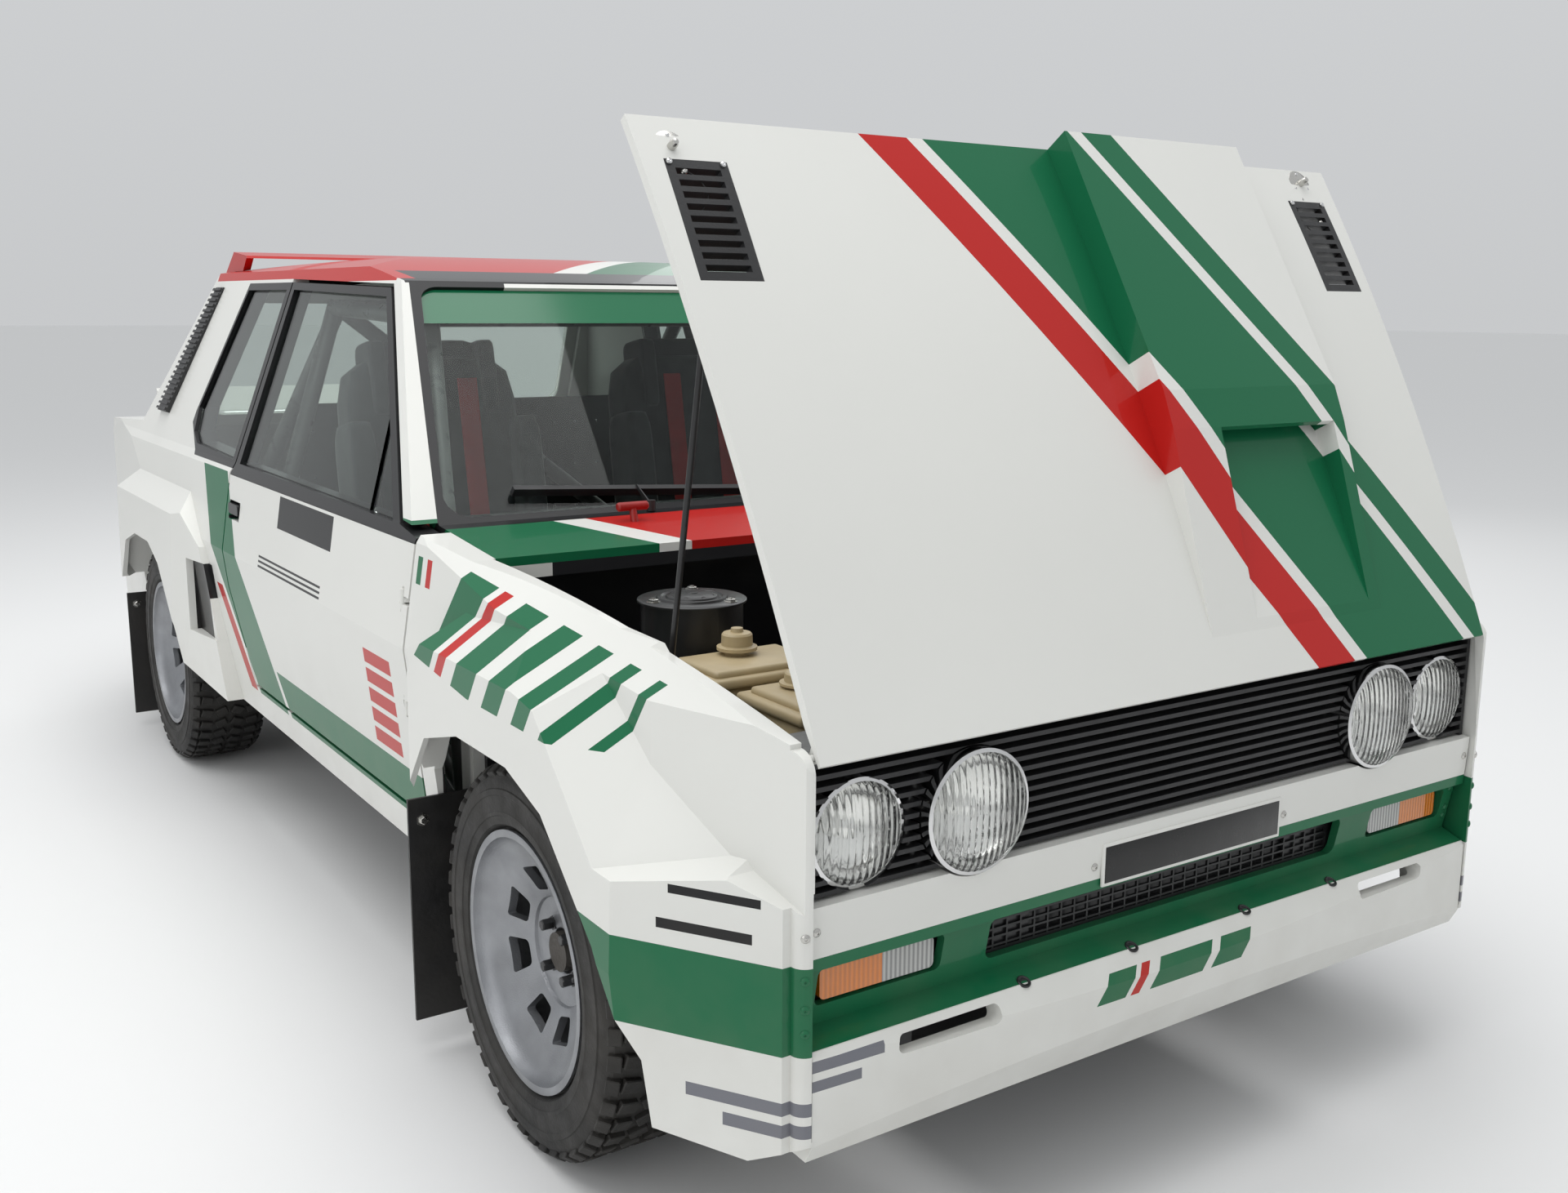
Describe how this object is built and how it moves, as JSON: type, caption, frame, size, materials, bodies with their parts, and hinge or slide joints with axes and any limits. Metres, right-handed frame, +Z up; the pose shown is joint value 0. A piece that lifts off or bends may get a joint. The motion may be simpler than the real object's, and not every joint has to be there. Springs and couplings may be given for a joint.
{
  "type": "rally car",
  "caption": "Rally saloon with flared arches, a front-hinged bonnet held open by a stay, paired round headlamps, a roll cage, mudflaps and white paint with green and red bands.",
  "frame": {"origin": "on the ground, under the centre of the overall length and width", "axes": "+X towards the front, +Y to the left, +Z up"},
  "size_m": [4.13, 1.72, 1.5886],
  "materials": {
    "alloy": "satin",
    "amber_lens": "gloss",
    "black_steel": "satin",
    "black_trim": "satin",
    "cage_paint": "gloss",
    "dash": "matt",
    "glass": "clear",
    "iron": "matt",
    "lamp_glass": "clear fluted",
    "paint": "gloss",
    "red_lens": "gloss",
    "rubber": "matt",
    "seat_cloth": "woven",
    "steel": "satin",
    "tank_plastic": "satin",
    "tyre_rubber": "matt"
  },
  "bodies": {
    "chassis": {"body_side_left": "paint", "body_side_right": "paint", "bucket_seats": "seat_cloth", "bumper_panel": "paint", "cabin_glass": "glass", "dashboard": "dash", "engine_gearbox": "iron", "exhaust": "steel", "floor_pan": "paint", "fluid_tanks": "tank_plastic", "front_panel": "black_steel", "front_suspension": "black_steel", "front_wing_left": "paint", "front_wing_right": "paint", "grille": "black_trim", "headlamps": "lamp_glass", "indicator_lamps": "amber_lens", "inner_wings": "black_steel", "lower_grille": "black_trim", "mudflaps": "rubber", "pillar_louvres": "black_trim", "radiator": "black_steel", "rear_axle": "iron", "rear_bumper": "paint", "roll_cage": "cage_paint", "roof_panel": "paint", "roof_spoiler": "paint", "scuttle": "paint", "steering_wheel": "dash", "tail_lamps": "red_lens", "tail_panel": "paint", "wipers": "black_trim"},
    "right_door": {"door_right": "paint", "door_glass_right": "glass"},
    "left_door": {"door_left": "paint", "door_glass_left": "glass"},
    "bonnet_panel": {"bonnet": "paint", "bonnet_vents": "black_trim"},
    "stay": {"bonnet_prop": "black_steel"},
    "boot": {"boot_lid": "paint"},
    "right_knuckle": {"knuckle_right": "iron"},
    "left_knuckle": {"knuckle_left": "iron"},
    "front_right_wheel": {"rim_front_right": "alloy", "tyre_front_right": "tyre_rubber"},
    "front_left_wheel": {"rim_front_left": "alloy", "tyre_front_left": "tyre_rubber"},
    "rear_right_wheel": {"rim_rear_right": "alloy", "tyre_rear_right": "tyre_rubber"},
    "rear_left_wheel": {"rim_rear_left": "alloy", "tyre_rear_left": "tyre_rubber"}
  },
  "joints": [
    {"name": "right_door_hinge", "type": "hinge", "parent": "chassis", "child": "right_door", "pos_m": [0.922, -0.8, 0.65], "axis": [0, 0, 1], "range_deg": [0, 65]},
    {"name": "left_door_hinge", "type": "hinge", "parent": "chassis", "child": "left_door", "pos_m": [0.922, 0.8, 0.65], "axis": [0, 0, 1], "range_deg": [-65, 0]},
    {"name": "bonnet_hinge", "type": "hinge", "parent": "chassis", "child": "bonnet_panel", "pos_m": [2.034, 0, 0.78], "axis": [0, 1, 0], "range_deg": [-55, 0]},
    {"name": "stay_pivot", "type": "hinge", "parent": "chassis", "child": "stay", "pos_m": [1.675, -0.685, 0.8], "axis": [0, 1, 0], "range_deg": [-99.6, 0]},
    {"name": "boot_hinge", "type": "hinge", "parent": "chassis", "child": "boot", "pos_m": [-1.531, 0, 0.942], "axis": [0, 1, 0], "range_deg": [0, 70]},
    {"name": "right_steering", "type": "hinge", "parent": "chassis", "child": "right_knuckle", "pos_m": [1.42, -0.625, 0.215], "axis": [0, 0.1946, 0.9809], "range_deg": [-32, 32]},
    {"name": "left_steering", "type": "hinge", "parent": "chassis", "child": "left_knuckle", "pos_m": [1.42, 0.625, 0.215], "axis": [0, -0.1946, 0.9809], "range_deg": [-32, 32]},
    {"name": "front_right_axle", "type": "hinge", "parent": "right_knuckle", "child": "front_right_wheel", "pos_m": [1.42, -0.713, 0.312], "axis": [0, 1, 0], "continuous": true},
    {"name": "front_left_axle", "type": "hinge", "parent": "left_knuckle", "child": "front_left_wheel", "pos_m": [1.42, 0.713, 0.312], "axis": [0, 1, 0], "continuous": true},
    {"name": "rear_right_axle", "type": "hinge", "parent": "chassis", "child": "rear_right_wheel", "pos_m": [-1.07, -0.713, 0.312], "axis": [0, 1, 0], "continuous": true},
    {"name": "rear_left_axle", "type": "hinge", "parent": "chassis", "child": "rear_left_wheel", "pos_m": [-1.07, 0.713, 0.312], "axis": [0, 1, 0], "continuous": true}
  ],
  "couplings": [
    {"joint": "left_steering", "follows": "right_steering", "ratio": 1},
    {"joint": "stay_pivot", "follows": "bonnet_hinge", "ratio": 1.809}
  ]
}
